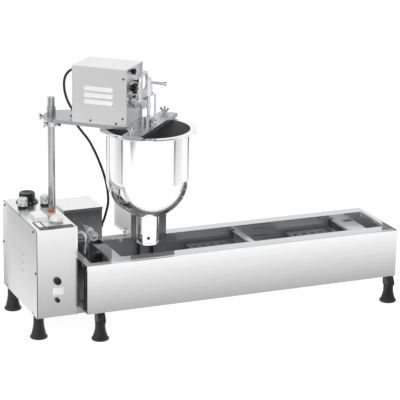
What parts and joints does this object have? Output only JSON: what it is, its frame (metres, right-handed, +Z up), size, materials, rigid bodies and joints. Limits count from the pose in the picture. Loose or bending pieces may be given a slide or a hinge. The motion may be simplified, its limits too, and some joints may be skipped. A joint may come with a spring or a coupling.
{
  "type": "donut machine",
  "caption": "Countertop donut fryer: long steel oil tank with flippers, control box on rubber feet, and a swivelling head with batter hopper, motor box and dosing plunger.",
  "frame": {"origin": "middle of the overall footprint, on the floor under the feet", "axes": "+X along the tank towards the exit end, +Y to the back, +Z up"},
  "size_m": [1.075, 0.443, 0.734],
  "materials": {
    "brushed_sheet": "brushed stainless sheet",
    "polished_steel": "mirror polished stainless",
    "turned_steel": "turned and milled steel",
    "heater_tube": "oxidised heater sheath",
    "motor_casting": "die cast",
    "black_bracket": "satin black paint",
    "black_rubber": "moulded",
    "black_plastic": "moulded",
    "clear_boot": "clear moulded",
    "amber_lens": "clear tinted",
    "white_plastic": "moulded"
  },
  "bodies": {
    "base": {"control_box": "brushed_sheet", "side_cover": "brushed_sheet", "box_floor": "brushed_sheet", "panel_frame": "black_plastic", "panel_plate": "white_plastic", "feet": "black_rubber", "foot_brackets": "black_bracket", "joining_bar": "brushed_sheet", "casing": "brushed_sheet", "casing_rim": "brushed_sheet", "oil_tank": "polished_steel", "cross_strips": "polished_steel", "rod_guides": "turned_steel", "drive_housing": "brushed_sheet", "drive_lid": "brushed_sheet", "drive_motor": "motor_casting", "rear_brackets": "brushed_sheet", "heater_box": "brushed_sheet", "heater_element": "heater_tube", "wire_conduit": "turned_steel", "post": "turned_steel", "cable_lower": "black_rubber", "drive_gland": "black_plastic", "thermostat": "motor_casting", "switch_bodies": "black_plastic", "switch_boots": "clear_boot", "pilot_lamp": "amber_lens"},
    "head": {"arm": "brushed_sheet", "motor_cover": "brushed_sheet", "mechanism_plate": "turned_steel", "dose_motor": "motor_casting", "rod_boss": "turned_steel", "hopper": "polished_steel", "spout": "polished_steel", "hopper_studs": "turned_steel", "cable_upper": "black_rubber", "cable_gland": "black_plastic"},
    "dosing_crank": {"dose_crank": "turned_steel"},
    "plunger_set": {"yoke": "turned_steel", "plunger": "turned_steel", "guide_rod": "turned_steel", "lift_handle": "turned_steel"},
    "dose_knob": {"dose_knob": "black_plastic"},
    "lock_knob": {"lock_knob": "black_plastic"},
    "wing_nut_near": {"wing_nut_near": "turned_steel"},
    "wing_nut_far": {"wing_nut_far": "turned_steel"},
    "arm_screw": {"arm_screw": "turned_steel"},
    "collar": {"stop_collar": "turned_steel"},
    "collar_screw": {"collar_screw": "turned_steel"},
    "collar_knob": {"collar_knob": "black_plastic"},
    "thermostat_knob": {"thermostat_knob": "black_plastic"},
    "rocker_left": {"rocker_left": "black_plastic"},
    "rocker_right": {"rocker_right": "black_plastic"},
    "dome_button": {"dome_button": "white_plastic"},
    "fuse_cap": {"fuse_cap": "black_plastic"},
    "reset_button": {"reset_button": "black_plastic"},
    "flip_crank": {"drive_crank": "turned_steel"},
    "flip_rod": {"flip_rod": "turned_steel"},
    "flipper_left": {"flipper_left": "turned_steel"},
    "flipper_right": {"flipper_right": "turned_steel"}
  },
  "joints": [
    {"name": "head_swivel", "type": "hinge", "parent": "base", "child": "head", "pos_m": [-0.4255, 0.09651, 0.581], "axis": [0, 0, 1], "range_deg": [-48, 20], "deforming": ["cable_lower"]},
    {"name": "dosing_turn", "type": "hinge", "parent": "head", "child": "dosing_crank", "pos_m": [-0.24417, -0.06675, 0.638], "axis": [0.7431, -0.6691, 0], "range_deg": [0, 180]},
    {"name": "plunger_stroke", "type": "slide", "parent": "head", "child": "plunger_set", "axis": [0, 0, -1], "range_m": [0, 0.02]},
    {"name": "dose_knob_turn", "type": "hinge", "parent": "head", "child": "dose_knob", "pos_m": [-0.25294, -0.075, 0.721], "axis": [0.7431, -0.6691, 0], "continuous": true},
    {"name": "lock_knob_turn", "type": "hinge", "parent": "head", "child": "lock_knob", "pos_m": [-0.25072, -0.07701, 0.676], "axis": [0.7431, -0.6691, 0], "continuous": true},
    {"name": "wing_nut_near_turn", "type": "hinge", "parent": "head", "child": "wing_nut_near", "pos_m": [-0.29798, -0.1818, 0.589], "axis": [0, 0, 1], "continuous": true},
    {"name": "wing_nut_far_turn", "type": "hinge", "parent": "head", "child": "wing_nut_far", "pos_m": [-0.13538, -0.00122, 0.589], "axis": [0, 0, 1], "continuous": true},
    {"name": "arm_screw_turn", "type": "hinge", "parent": "head", "child": "arm_screw", "pos_m": [-0.4535, 0.09651, 0.575], "axis": [-1, 0, 0], "continuous": true},
    {"name": "collar_slide", "type": "slide", "parent": "base", "child": "collar", "axis": [0, 0, -1], "range_m": [0, 0.1]},
    {"name": "collar_screw_turn", "type": "hinge", "parent": "collar", "child": "collar_screw", "pos_m": [-0.4255, 0.09651, 0.5546], "axis": [-0.9397, -0.342, 0], "continuous": true},
    {"name": "collar_knob_turn", "type": "hinge", "parent": "collar", "child": "collar_knob", "pos_m": [-0.4255, 0.09651, 0.5546], "axis": [0.9397, -0.342, 0], "continuous": true},
    {"name": "thermostat_turn", "type": "hinge", "parent": "base", "child": "thermostat_knob", "pos_m": [-0.4705, 0.17951, 0.32], "axis": [0, 0, -1], "range_deg": [0, 270]},
    {"name": "rocker_left_tilt", "type": "hinge", "parent": "base", "child": "rocker_left", "pos_m": [-0.4975, 0.13451, 0.3154], "axis": [-1, 0, 0], "range_deg": [0, 24]},
    {"name": "rocker_right_tilt", "type": "hinge", "parent": "base", "child": "rocker_right", "pos_m": [-0.4315, 0.13801, 0.3154], "axis": [-1, 0, 0], "range_deg": [0, 24]},
    {"name": "dome_press", "type": "slide", "parent": "base", "child": "dome_button", "axis": [0, 0, -1], "range_m": [0, 0.003], "stiffness_N_per_m": 600, "springref_m": -0.002},
    {"name": "fuse_cap_turn", "type": "hinge", "parent": "base", "child": "fuse_cap", "pos_m": [-0.471, -0.08349, 0.167], "axis": [0, 1, 0], "range_deg": [0, 90]},
    {"name": "reset_press", "type": "slide", "parent": "base", "child": "reset_button", "axis": [0, 1, 0], "range_m": [0, 0.002], "stiffness_N_per_m": 500, "springref_m": -0.001},
    {"name": "flip_crank_turn", "type": "hinge", "parent": "base", "child": "flip_crank", "pos_m": [-0.3395, 0.02651, 0.259], "axis": [0, 1, 0], "range_deg": [0, 70]},
    {"name": "flip_rod_slide", "type": "slide", "parent": "base", "child": "flip_rod", "axis": [-1, 0, 0], "range_m": [0, 0.02295]},
    {"name": "flipper_left_turn", "type": "hinge", "parent": "base", "child": "flipper_left", "pos_m": [0.0895, -0.02849, 0.21], "axis": [0, 1, 0], "range_deg": [0, 110]},
    {"name": "flipper_right_turn", "type": "hinge", "parent": "base", "child": "flipper_right", "pos_m": [0.3995, -0.02849, 0.21], "axis": [0, 1, 0], "range_deg": [0, 110]}
  ],
  "couplings": [
    {"joint": "dosing_turn", "follows": "plunger_stroke", "rad_per_m": 157.08},
    {"joint": "flip_rod_slide", "follows": "flip_crank_turn", "m_per_rad": 0.018779},
    {"joint": "flipper_left_turn", "follows": "flip_crank_turn", "ratio": 1.5714},
    {"joint": "flipper_right_turn", "follows": "flip_crank_turn", "ratio": 1.5714}
  ]
}
